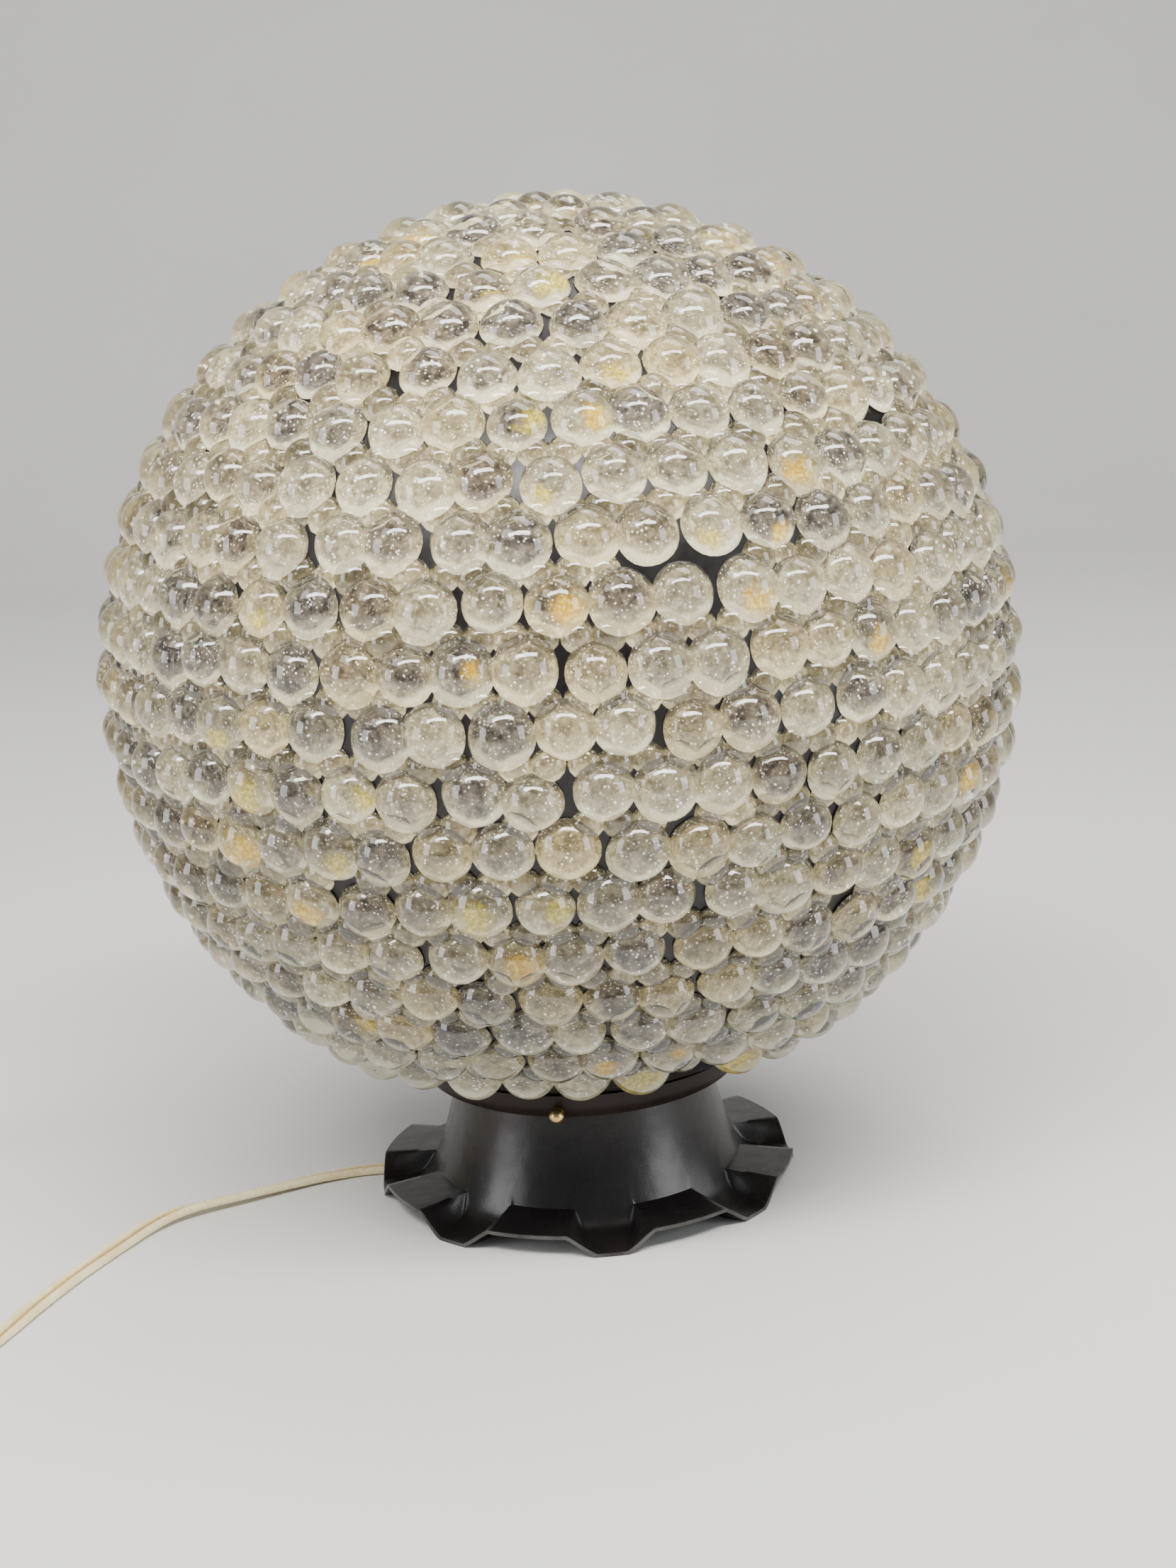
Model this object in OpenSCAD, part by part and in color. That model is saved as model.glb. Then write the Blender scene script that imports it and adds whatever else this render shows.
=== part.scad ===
// Table lamp: a globe covered with clear glass gems, held in a gallery on a black pressed-metal foot.
// Millimetres, +Z up. The origin is the middle of the foot on the table, and the front is -Y.
// Azimuths are degrees from the front, positive towards +X.

/* [Globe] */
// Diameter of the globe over its gems
globe_d = 300; // [270:1:330]
// Wall of the glass shell inside the gems
shell_wall = 2.5; // [2:0.1:4]
// Outside diameter of the shell's neck
neck_d = 100; // [96:0.5:101]
// Length of the shell's straight neck
neck_l = 6.1; // [5.5:0.1:9]

/* [Gems] */
// Height of a gem's dome above its widest line
gem_dome_h = 5.2; // [4.6:0.1:6]
// Radius of a gem's rounded edge, which is also its height below the widest line
gem_edge_r = 2.2; // [1.8:0.1:3]
// Room between the gallery bowl's rim and the middles of the lowest gems, seen from above
gem_low_room = 30.1; // [26:0.1:44]
// Clear gap between neighbouring gems
gem_gap = 0.4; // [0.3:0.05:1]
// Glue line between a gem's flat back and the shell
gem_glue = 0.3; // [0.2:0.05:0.5]
// Share by which the smallest gem is smaller than the largest
gem_spread = 0.07; // [0:0.01:0.15]

/* [Foot] */
// Height of the foot's top plate above the table
foot_h = 39.2; // [36:0.2:48]
// Thickness of the pressed sheet
sheet = 1.2; // [0.8:0.1:1.6]
// Radius of the neck under the gallery
foot_neck_top_r = 44; // [40:0.5:46]
// Radius of the neck where it turns into the flange
foot_neck_low_r = 55; // [52:0.5:58]
// Radius of the neck's pressed top corner
foot_corner_r = 2; // [1.5:0.1:3]
// Outside radius of the ruffled flange
flange_r = 70.8; // [67:0.2:76]
// Height of the flange's arches at the edge
arch_h = 7.6; // [6.8:0.1:9]
// Height of the arches where they meet the neck
arch_root_h = 8.8; // [8:0.1:11]
// Height of the low lobes where they meet the neck
lobe_root_h = 3; // [2:0.1:4]
// Width of a low lobe at its tip
lobe_tip_w = 9.5; // [7:0.5:12]
// Width of a low lobe at the neck
lobe_root_w = 16.3; // [13:0.1:18]
// Run of an arch's side wall along the edge
wall_tip_run = 9.7; // [7:0.1:12]
// Run of an arch's side wall at the neck
wall_root_run = 2; // [1.6:0.1:3.5]

/* [Gallery] */
// Room between the shell's neck and the outside of the gallery bowl
bowl_room = 6; // [5:0.5:10]
// Outside radius of the bowl's lower corner
bowl_corner_r = 9; // [5:0.5:9.4]
// Height of the gallery screws above the bowl's bottom
screw_rise = 4.3; // [3.8:0.1:5]
// Azimuth of the first gallery screw
screw_az = -9; // [-20:1:20]
// Diameter of a gallery screw's shank
screw_d = 3; // [2.5:0.1:3.5]
// Diameter of a gallery screw's ball head
screw_head_d = 4.8; // [4:0.1:6]

/* [Fixing] */
// Outside diameter of the threaded tube through foot, gallery and lampholder
tube_d = 10; // [9.5:0.1:10.5]
// Bore of the threaded tube
tube_bore = 8; // [7.6:0.1:8.2]
// Length of tube below the foot's top plate
tube_drop = 11.2; // [10.6:0.1:13]
// Distance across the flats of the tube's nuts
nut_af = 14; // [13:0.5:17]
// Thickness of the tube's nuts
nut_h = 4; // [3:0.5:5]

/* [Lampholder] */
// Outside diameter of the lampholder
holder_d = 41; // [39:0.5:46]
// Height of the lampholder's cap
holder_cap_h = 18; // [16:0.5:24]
// Height of the lampholder's outer shell
holder_shell_h = 38; // [36:0.5:46]
// Wall of the lampholder's cap and shell
holder_wall = 1.5; // [1.2:0.1:2]

/* [Bulb] */
// Diameter of the bulb's glass
bulb_d = 60; // [50:1:70]
// Height of the bulb's glass above its cap
bulb_h = 82; // [76:1:95]
// Diameter of the bulb's screw cap
bulb_cap_d = 26.4; // [26:0.1:26.6]
// Length of the bulb's screw cap
bulb_cap_l = 24; // [22:0.5:27]

/* [Cord] */
// Width of the flat twin cord
cord_w = 5.4; // [5:0.1:5.6]
// Thickness of the flat twin cord
cord_t = 2.7; // [2.5:0.1:2.8]
// Length of the switch on the cord
switch_l = 48; // [44:1:48]
// Width of the switch on the cord
switch_w = 22; // [20:1:26]
// Height of the switch's two shells together
switch_h = 15; // [14:0.5:18]
// Width of the plug at its blades
plug_w = 25; // [23:0.5:28]
// Length of the plug's body
plug_l = 38; // [34:1:42]

/* [Hidden] */
$fn = 64;
// Clearance of a part that slides or turns in another
run_gap = 0.3;
// Radial clearance of a screw in its hole
screw_gap = 0.05;
// Radial clearance of the threaded tube in plates and nuts
tube_gap = 0.2;
// Gap between the globe and the gallery's rim
rim_gap = 0.7;

// Levels of the lamp, upwards from the table
bowl_floor = foot_h + sheet;
bowl_r = neck_d / 2 + bowl_room;
// The neck stands on the floor of the bowl, or on its rounded corner if it reaches that far out
neck_over = max(bowl_corner_r - bowl_room, 0);
seat_z = foot_h + bowl_corner_r - sqrt(pow(bowl_corner_r - sheet - run_gap, 2) - pow(neck_over, 2));
shell_r = globe_d / 2 - gem_dome_h - gem_edge_r - gem_glue;
globe_z = seat_z + neck_l + sqrt(pow(shell_r, 2) - pow(neck_d / 2, 2));
bowl_rim = globe_z - sqrt(pow(shell_r + rim_gap, 2) - pow(bowl_r, 2));
screw_z = foot_h + screw_rise;
upper_nut_top = bowl_floor + nut_h;
holder_z = upper_nut_top + 1.6;
holder_split = holder_z + holder_cap_h;
holder_top = holder_split + holder_shell_h;

// Gems: rows of equal steps, so that two rows can never touch
gem_rows = 21;
// The first row is three gems round the top, a little over 1 / sqrt(3) of a step out
first_share = 0.6;
gem_plane_r = shell_r + gem_glue + gem_edge_r;
// Angle from the top of the globe to the lowest row
gem_cover = 180 - asin((bowl_r + gem_low_room) / gem_plane_r);
row_step = gem_cover / (gem_rows - 1 + first_share);
gem_pitch = 2 * gem_plane_r * sin(row_step / 2);
gem_r = (gem_pitch - gem_gap) / 2;
// One gem of the lowest row is missing, third to the right of the front
missing_row = gem_rows - 1;
missing_gem = 2;

// Foot: stations round one lobe and its arch
lobes = 8;
lobe_az = 5;
lobe_turn = 360 / lobes;
lobe_steps = 12;
foot_steps = lobes * lobe_steps;
neck_bow = 0.5;
neck_rows = 5;
flange_shares = [0.3, 0.6, 1];
foot_rows = 3 + neck_rows + 1 + len(flange_shares);
// The lobes rest flat on the table from this share of the flange outwards
flat_from = 0.6;
tube_hole_r = tube_d / 2 + tube_gap;

// Where the pieces on the cord lie: all along one line parallel to Y
cord_x = -243;
switch_y = -80;
switch_cord_z = 6;
coil_y = -14;
plug_y = 12;

// Coil: two layers of turns on edge, spiralling in and then out again
coil_r = 36;
coil_turns = 3.25;
coil_pitch = cord_t + 0.7;
coil_layer = cord_w + 0.6;
coil_z = cord_w / 2 + 1.1;
loop_rings = 24;
tie_wall = 0.6;
tie_w = 6;
plug_z = coil_z + coil_layer;

// Route of the cord from the tube's bush to the switch: x, y, z and how far it lies over on edge
cord_route = [
    [0, 0, foot_h - sheet - tube_drop - 2, 0],
    [-1.5, 0, 16.5, 0],
    [-6.5, 0, 8.5, 0],
    [-14.5, 0.5, 3.5, 0],
    [-24, 1.5, 2, 0],
    [-36, 3.5, 1.6, 0],
    [-48, 6, 1.6, 0],
    [-60, 8, 1.6, 0],
    [-71, 8.5, 1.6, 0],
    [-82, 7, 1.6, 5],
    [-94, 2.5, 1.8, 15],
    [-106, -4, 2.1, 30],
    [-119, -11.5, 2.5, 55],
    [-131, -18, 2.8, 80],
    [-140, -24, 2.8, 85],
    [-147, -32.5, 2.7, 65],
    [-153, -43, 2.4, 45],
    [-159, -54.5, 2.2, 30],
    [-164.5, -66, 2.1, 25],
    [-169.5, -78, 2.1, 25],
    [-174, -90, 2.3, 35],
    [-178, -102, 2.5, 50],
    [-182.5, -114, 2.7, 70],
    [-189.5, -125.5, 2.8, 85],
    [-199.5, -134, 2.8, 90],
    [-212, -137.5, 2.8, 90],
    [-224.5, -135, 3, 80],
    [-235, -127.5, 3.6, 55],
    [-241, -118, 4.8, 25],
    [cord_x, switch_y - switch_l / 2, switch_cord_z, 0],
];

function gem_row_name(i) = str("gem_row_", i < 9 ? "0" : "", i + 1);
function mix(a, b, t) = a + (b - a) * t;
function unit(v) = v / norm(v);

// Foot: radius of the neck at a height, a gently bowed flare
function neck_r(z) =
    let (t = (foot_h - foot_corner_r - z) / (foot_h - foot_corner_r - lobe_root_h))
    mix(foot_neck_top_r, foot_neck_low_r, neck_bow * t + (1 - neck_bow) * t * t);

// Foot: how far up the arch a station is, for m steps from the middle of a lobe
function lift(m) = m <= 2 ? 0 : m == 3 ? 0.5 : 1;

// Foot: angle of a station from the middle of its lobe, u from the neck to the edge
function lobe_angle(u) =
    mix(asin(lobe_root_w / 2 / foot_neck_low_r), asin(lobe_tip_w / 2 / flange_r), u);
function wall_angle(u) =
    lobe_angle(u)
    + mix(wall_root_run / foot_neck_low_r, wall_tip_run / flange_r, u) * 180 / PI;
function station_angle(m, u) =
    m <= 2 ? lobe_angle(u) * m / 2
    : m == 3 ? (lobe_angle(u) + wall_angle(u)) / 2
    : mix(wall_angle(u), lobe_turn / 2, (m - 4) / 2);

// Foot: radius, height, share of the creases and share of the flange, for row j at station m
function root_h(m) = mix(lobe_root_h, arch_root_h, lift(m));
function flange_z(m, u) =
    mix(
        sheet + (lobe_root_h - sheet) * pow(max(0, 1 - u / flat_from), 2),
        mix(arch_root_h, arch_h, u),
        lift(m)
    );
function foot_row(m, j) =
    j == 0 ? [tube_hole_r, foot_h, 0, 0]
    : j == 1 ? [foot_neck_top_r - foot_corner_r, foot_h, 0, 0]
    : j == 2 ? [
        foot_neck_top_r - foot_corner_r * (1 - sin(45)),
        foot_h - foot_corner_r * (1 - cos(45)), 0, 0
    ]
    : j <= 3 + neck_rows ?
        let (v = (j - 3) / neck_rows, z = mix(foot_h - foot_corner_r, root_h(m), v))
        [neck_r(z), z, v, 0]
    : let (u = flange_shares[j - 4 - neck_rows])
        [mix(neck_r(root_h(m)), flange_r, u), flange_z(m, u), 1, u];

// Foot: a point of the outer face, at station s round the foot and row j down its profile
function foot_point(s, j) =
    let (
        n = (s + foot_steps) % lobe_steps,
        past = n > lobe_steps / 2,
        m = past ? lobe_steps - n : n,
        row = foot_row(m, j),
        angle = mix(m * lobe_turn / lobe_steps, station_angle(m, row[3]), row[2]),
        lobe = floor((s + foot_steps) / lobe_steps) + (past ? 1 : 0),
        az = lobe_az + lobe * lobe_turn + (past ? -angle : angle)
    )
    [row[0] * sin(az), -row[0] * cos(az), row[1]];

// Foot: the point of the inner face behind it, one sheet thickness in
function foot_inside(s, j) =
    let (
        n = s % lobe_steps,
        m = min(n, lobe_steps - n),
        last = foot_rows - 1,
        flat = m <= 2 && j > foot_rows - len(flange_shares),
        round_way = foot_point(s + 1, j) - foot_point(s - 1, j),
        down_way = foot_point(s, min(j + 1, last)) - foot_point(s, max(j - 1, 0))
    )
    foot_point(s, j) + sheet * (flat || j == 0 ? [0, 0, -1] : unit(cross(round_way, down_way)));

// Faces of a grid of n points round by rows points along, closed round
function grid_faces(n, rows, start, flip) = [
    for (j = [0 : rows - 2])
    for (s = [0 : n - 1])
    let (
        a = start + j * n + s,
        b = start + j * n + (s + 1) % n,
        c = b + n,
        d = a + n
    )
    each flip ? [[a, c, b], [a, d, c]] : [[a, b, c], [a, c, d]]
];

// Faces of the rim between two rings of n points
function rim_faces(n, first, second, flip) = [
    for (s = [0 : n - 1])
    let (a = first + s, b = first + (s + 1) % n, c = second + (s + 1) % n, d = second + s)
    each flip ? [[a, c, b], [a, d, c]] : [[a, b, c], [a, c, d]]
];

// Pressed foot: top plate, flared neck and ruffled flange in one sheet
module foot() {
    skin = foot_steps * foot_rows;
    outer = [for (j = [0 : foot_rows - 1]) for (s = [0 : foot_steps - 1]) foot_point(s, j)];
    inner = [for (j = [0 : foot_rows - 1]) for (s = [0 : foot_steps - 1]) foot_inside(s, j)];
    color([0.13, 0.13, 0.14])
    polyhedron(
        concat(outer, inner),
        concat(
            grid_faces(foot_steps, foot_rows, 0, false),
            grid_faces(foot_steps, foot_rows, skin, true),
            rim_faces(foot_steps, 0, skin, true),
            rim_faces(foot_steps, skin - foot_steps, 2 * skin - foot_steps, false)
        )
    );
}

// Half section of a bowl with a rounded lower corner
module bowl_half(r, corner, floor_z, rim_z) {
    translate([0, floor_z]) square([r - corner, rim_z - floor_z]);
    intersection() {
        union() {
            translate([r - corner, floor_z + corner]) circle(corner);
            translate([0, floor_z + corner]) square([r, rim_z - floor_z]);
        }
        translate([0, floor_z]) square([r + 1, rim_z - floor_z]);
    }
}

// Gallery bowl that the globe's neck stands in
module gallery_bowl() {
    color([0.12, 0.09, 0.08])
    difference() {
        rotate_extrude()
        difference() {
            bowl_half(bowl_r, bowl_corner_r, foot_h, bowl_rim);
            bowl_half(bowl_r - sheet, bowl_corner_r - sheet, bowl_floor, bowl_rim + 1);
        }
        cylinder(h = 4 * foot_h, r = tube_hole_r, center = true);
        for (k = [0 : 2])
        at_screw(k)
        cylinder(h = bowl_r, r = screw_d / 2 + screw_gap);
    }
}

// Places a child so that its +Z points outwards along gallery screw k
module at_screw(k) {
    translate([0, 0, screw_z])
    rotate([0, 0, screw_az + 120 * k])
    rotate([90, 0, 0])
    translate([0, 0, neck_d / 2 + run_gap])
    children();
}

// Gallery screw with a small ball head, its tip against the globe's neck
module gallery_screw(k) {
    shank = bowl_r - neck_d / 2 - 0.4;
    color([0.72, 0.58, 0.33])
    at_screw(k)
    union() {
        cylinder(h = shank + screw_head_d / 2, d = screw_d);
        translate([0, 0, shank]) cylinder(h = 1, d = screw_head_d - 0.8);
        translate([0, 0, shank + 1 + screw_head_d * 0.4]) sphere(d = screw_head_d);
    }
}

// Threaded tube that clamps foot, gallery and lampholder together
module threaded_tube() {
    low = foot_h - sheet - tube_drop;
    color([0.75, 0.68, 0.45])
    translate([0, 0, low])
    difference() {
        cylinder(h = holder_z + 6 - low, d = tube_d);
        translate([0, 0, -1]) cylinder(h = holder_z + 8 - low, d = tube_bore);
    }
}

// Washer between the foot's top plate and the lower nut
module tube_washer() {
    color([0.7, 0.7, 0.7])
    translate([0, 0, foot_h - sheet - washer_h])
    difference() {
        cylinder(h = washer_h, r = nut_af * 0.75);
        translate([0, 0, -1]) cylinder(h = washer_h + 2, r = tube_hole_r);
    }
}
washer_h = 1.5;

// Hexagon nut on the threaded tube
module tube_nut(z) {
    color([0.72, 0.65, 0.42])
    translate([0, 0, z])
    difference() {
        cylinder(h = nut_h, d = nut_af / cos(30), $fn = 6);
        translate([0, 0, -1]) cylinder(h = nut_h + 2, r = tube_d / 2 + screw_gap);
    }
}

// Nylon bush that keeps the tube's lower end from cutting the cord
module cord_bush() {
    low = foot_h - sheet - tube_drop;
    color([0.9, 0.88, 0.8])
    difference() {
        union() {
            translate([0, 0, low - 2]) cylinder(h = 2, d = tube_d + 2);
            translate([0, 0, low - 1]) cylinder(h = 6, d = tube_bore - 2 * screw_gap);
        }
        translate([0, 0, low]) cylinder(h = 6, d = cord_w + 0.6);
    }
}

// Lampholder cap on the threaded tube
module holder_cap() {
    collar_r = tube_d / 2 + 3;
    color([0.1, 0.1, 0.1])
    translate([0, 0, holder_z])
    rotate_extrude()
    difference() {
        polygon([
            [0, 0],
            [collar_r, 0],
            [collar_r, holder_cap_h * 0.3],
            [holder_d / 2 - 3, holder_cap_h * 0.62],
            [holder_d / 2, holder_cap_h * 0.8],
            [holder_d / 2, holder_cap_h],
            [0, holder_cap_h]
        ]);
        square([tube_d + 2 * screw_gap, 2 * holder_cap_h], center = true);
        polygon([
            [0, holder_cap_h * 0.3 + holder_wall],
            [collar_r, holder_cap_h * 0.3 + holder_wall],
            [holder_d / 2 - 3 - holder_wall, holder_cap_h * 0.62 + holder_wall],
            [holder_d / 2 - 2 * holder_wall, holder_cap_h * 0.8 + holder_wall],
            [holder_d / 2 - 2 * holder_wall, holder_cap_h + 1],
            [0, holder_cap_h + 1]
        ]);
    }
}

// Lampholder's outer shell, standing on the cap's rim
module holder_shell() {
    color([0.1, 0.1, 0.1])
    translate([0, 0, holder_split])
    rotate_extrude()
    difference() {
        union() {
            square([holder_d / 2, holder_shell_h - 3]);
            square([holder_d / 2 - 1, holder_shell_h]);
            translate([0, 6]) square([holder_d / 2 + 1, 3]);
        }
        translate([0, -1]) square([holder_d / 2 - holder_wall, holder_shell_h - 2]);
        square([holder_d - 6, 3 * holder_shell_h], center = true);
    }
}

// Ceramic disc that carries the lampholder's contacts
insulator_h = 7;
module holder_insulator() {
    color([0.92, 0.9, 0.85])
    translate([0, 0, holder_split])
    difference() {
        cylinder(h = insulator_h, r = holder_d / 2 - holder_wall - run_gap);
        for (x = [-10, 10])
        translate([x, 0, -1])
        cylinder(h = insulator_h + 2, d = 3);
    }
}

// Brass shell that the bulb screws into
screw_shell_wall = 0.5;
module holder_screw_shell() {
    color([0.8, 0.66, 0.35])
    translate([0, 0, holder_split + insulator_h])
    difference() {
        cylinder(h = bulb_cap_l - 1, d = bulb_cap_d + 2 * run_gap + 2 * screw_shell_wall);
        translate([0, 0, -1]) cylinder(h = bulb_cap_l + 1, d = bulb_cap_d + 2 * run_gap);
    }
}

// Sprung tongue under the bulb's tip
contact_h = 2.5;
module holder_contact() {
    color([0.8, 0.66, 0.35])
    translate([0, 0, holder_split + insulator_h]) {
        translate([-2.5, -2.5, 0]) cube([8, 5, 0.6]);
        translate([0, 0, 0]) cylinder(h = contact_h, d = 5);
    }
}

// Bulb: levels upwards from the tongue in the lampholder
bulb_z = holder_split + insulator_h + contact_h + run_gap;
bulb_tip_h = 3;
bulb_cap_z = bulb_z + bulb_tip_h;
bulb_glass_z = bulb_cap_z + bulb_cap_l;
bulb_wall = 1;

// Outline of the bulb's glass, off millimetres inside its outer face
module bulb_half(off) {
    ball_z = bulb_h - bulb_d / 2;
    throat_r = bulb_cap_d / 2 - 0.4;
    intersection() {
        union() {
            translate([0, ball_z]) circle(bulb_d / 2 - off);
            polygon([
                [0, 0],
                [throat_r - off, 0],
                [throat_r - off, 8],
                [bulb_d / 2 * cos(25) - off, ball_z - bulb_d / 2 * sin(25)],
                [0, ball_z]
            ]);
        }
        translate([0, off]) square([bulb_d, bulb_h + 1]);
    }
}

module bulb_glass() {
    color([0.95, 0.95, 0.92, 0.7])
    translate([0, 0, bulb_glass_z])
    rotate_extrude()
    difference() {
        bulb_half(0);
        bulb_half(bulb_wall);
    }
}

// Bulb's screw cap, a metal cup round the glass's foot
module bulb_cap() {
    color([0.8, 0.8, 0.82])
    translate([0, 0, bulb_cap_z])
    difference() {
        cylinder(h = bulb_cap_l, d = bulb_cap_d);
        translate([0, 0, 0.8]) cylinder(h = bulb_cap_l - 1.6, d = bulb_cap_d - 1.6);
    }
}

// Bulb's insulated tip with its centre contact
module bulb_tip() {
    color([0.15, 0.15, 0.17])
    translate([0, 0, bulb_z])
    union() {
        cylinder(h = 1, d = 8);
        translate([0, 0, 1]) cylinder(h = bulb_tip_h - 1, d1 = 9, d2 = 22);
    }
}

// Glass shell inside the gems, with the straight neck that stands in the gallery
module shell_half(r, neck) {
    translate([0, globe_z]) circle(r, $fn = 180);
    translate([0, seat_z]) square([neck, globe_z - seat_z - r / 2]);
}

module glass_globe() {
    color([0.3, 0.24, 0.2, 0.5])
    rotate_extrude($fn = 180)
    intersection() {
        difference() {
            shell_half(shell_r, neck_d / 2);
            shell_half(shell_r - shell_wall, neck_d / 2 - shell_wall);
        }
        translate([0, seat_z]) square([globe_d, 2 * globe_d]);
    }
}

// Half section of a gem: flat back, rounded edge and a full dome that dips into the edge by a hair
gem_dip = 0.12;
module gem_half() {
    edge_x = gem_r - gem_edge_r;
    meet_r = gem_edge_r - gem_dip;
    dome_r = (pow(edge_x, 2) + pow(gem_dome_h, 2) - pow(meet_r, 2)) / 2 / (gem_dome_h - meet_r);
    way = unit([edge_x, dome_r - gem_dome_h]);
    translate([0, gem_edge_r]) {
        intersection() {
            translate([0, gem_dome_h - dome_r]) circle(dome_r);
            polygon([
                [0, -gem_edge_r],
                [edge_x, -gem_edge_r],
                [edge_x, 0],
                [edge_x, 0] + 2 * gem_edge_r * way,
                [0, 2 * gem_dome_h]
            ]);
        }
        translate([edge_x, 0]) circle(gem_edge_r);
    }
}

// A size for gem k of row i, from a fixed scatter
function gem_size(i, k) =
    let (h = sin(i * 127.1 + k * 311.7) * 437.5)
    1 - gem_spread * (h - floor(h));

// One row of gems, glued round the shell
module gem_row(i) {
    polar = (i + first_share) * row_step;
    ring_r = gem_plane_r * sin(polar);
    count = floor(180 / asin(min(1, gem_pitch / 2 / ring_r)));
    color([0.8, 0.8, 0.74, 0.6])
    translate([0, 0, globe_z])
    for (k = [0 : count - 1])
    if (i != missing_row || k != missing_gem)
    rotate([0, 0, (k + (i % 2) / 2) * 360 / count])
    rotate([polar, 0, 0])
    translate([0, 0, shell_r + gem_glue])
    scale(gem_size(i, k))
    rotate_extrude($fn = 32) gem_half($fn = 32);
}

// Cord: sides of the flat twin section, with the groove between its two cores
function twin_section() = [
    for (a = [0 : 30 : 330])
    a % 180 == 90 ? [0, sign(sin(a)) * cord_t * 0.36]
    : [cord_t / 2 * cos(a) + sign(cos(a)) * (cord_w - cord_t) / 2, cord_t / 2 * sin(a)]
];
function coil_section() = [
    for (a = [0 : 60 : 300])
    a % 180 == 0 ? [cord_w / 2 * cos(a), 0]
    : [sign(cos(a)) * (cord_w - cord_t * 0.8) / 2, sign(sin(a)) * cord_t / 2]
];

// Cord: direction at point i of a route, which starts and ends along the given ways
function route_way(path, i, start, end) =
    let (last = len(path) - 1)
    i == 0 ? start
    : i == last ? end
    : unit(point3(path[i + 1]) - point3(path[i - 1]));
function point3(p) = [p[0], p[1], p[2]];
function side_way(t) = norm([t[0], t[1]]) < 0.01 ? [0, 1, 0] : unit([t[1], -t[0], 0]);

// Cord: one ring of the section, lying over by p[3] degrees from flat
function cord_ring(p, t, section) =
    let (side = side_way(t), up = cross(side, t), c = cos(p[3]), s = sin(p[3]))
    [for (q = section) point3(p) + q[0] * (side * c + up * s) + q[1] * (up * c - side * s)];

function tube_points(path, section, start, end) = [
    for (i = [0 : len(path) - 1])
    each cord_ring(path[i], route_way(path, i, start, end), section)
];

// Cord: closed tube of the section along a route
module cord_tube(path, section, start, end) {
    n = len(section);
    rows = len(path);
    polyhedron(
        tube_points(path, section, start, end),
        concat(
            grid_faces(n, rows, 0, false),
            [for (s = [1 : n - 2]) [0, s + 1, s]],
            [for (s = [1 : n - 2]) [for (q = [0, s, s + 1]) (rows - 1) * n + q]]
        )
    );
}

// Free stretch of the cord, from the tube's bush out under an arch of the foot to the switch
module cord() {
    color([0.86, 0.79, 0.6])
    cord_tube(cord_route, twin_section(), [0, 0, -1], [0, 1, 0]);
}

// Coil: a point after turn degrees, spiralling in and out while it climbs a layer in the half turn between
coil_mid = coil_turns * 360 + 90;
function coil_point(turn) =
    let (
        climb = min(max((turn - coil_mid) / 180 + 0.5, 0), 1),
        r = coil_r - coil_pitch * min(turn, 2 * coil_mid - turn) / 360
    )
    [cord_x - coil_r + r * cos(turn), coil_y + r * sin(turn), coil_z + coil_layer * climb, 90];
coil_end = 2 * coil_mid;
switch_end = switch_y + switch_l / 2;
coil_path = concat(
    [
        [cord_x, switch_end, switch_cord_z, 0],
        [cord_x, switch_end + 6, switch_cord_z, 0],
        [cord_x, switch_end + 14, switch_cord_z - 0.6, 25],
        [cord_x, switch_end + 22, mix(switch_cord_z, coil_z, 0.6), 55],
        [cord_x, switch_end + 30, coil_z + 0.2, 85]
    ],
    [for (turn = [0 : 360 / loop_rings : coil_end]) coil_point(turn)],
    [
        [cord_x, mix(coil_y, plug_y, 0.3), plug_z + 0.2, 88],
        [cord_x, mix(coil_y, plug_y, 0.6), plug_z + 0.4, 50],
        [cord_x, mix(coil_y, plug_y, 0.8), plug_z, 0],
        [cord_x, plug_y, plug_z, 0]
    ]
);

// Coil: least gap between points of different turns, a third of a turn or more apart along the cord
coil_rings = [
    for (i = [0 : len(coil_path) - 1])
    cord_ring(coil_path[i], route_way(coil_path, i, [0, 1, 0], [0, 1, 0]), coil_section())
];
coil_gap = min([
    for (i = [0 : len(coil_rings) - 1])
    for (j = [i + loop_rings / 3 : len(coil_rings) - 1])
    if (norm(point3(coil_path[i]) - point3(coil_path[j])) < 2 * cord_w)
    for (a = coil_rings[i])
    for (b = coil_rings[j])
    norm(a - b)
]);

// Rest of the cord, wound up between the switch and the plug
module cord_coil() {
    echo(least_gap_between_turns_mm = coil_gap);
    color([0.86, 0.79, 0.6])
    cord_tube(coil_path, coil_section(), [0, 1, 0], [0, 1, 0]);
}

// Tie round the coil's turns, on the side away from the lamp
module coil_tie() {
    inner_r = coil_r - coil_pitch * coil_mid / 360 - cord_t / 2 - run_gap;
    wide = coil_pitch * (coil_mid - 180) / 360 + cord_t + 2 * run_gap;
    low = coil_z - cord_w / 2 - run_gap;
    high = coil_z + coil_layer + cord_w / 2 + run_gap;
    color([0.15, 0.15, 0.15])
    translate([cord_x - coil_r - inner_r - wide, coil_y - tie_w / 2, low])
    difference() {
        translate([-tie_wall, 0, -tie_wall])
        cube([wide + 2 * tie_wall, tie_w, high - low + 2 * tie_wall]);
        translate([0, -1, 0]) cube([wide, tie_w + 2, high - low]);
    }
}

// Flat outline with round corners, centred
module pad(l, w, r) {
    square([l - 2 * r, w], center = true);
    square([l, w - 2 * r], center = true);
    for (x = [-1, 1])
    for (y = [-1, 1])
    translate([x * (l / 2 - r), y * (w / 2 - r)])
    circle(r);
}

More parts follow.
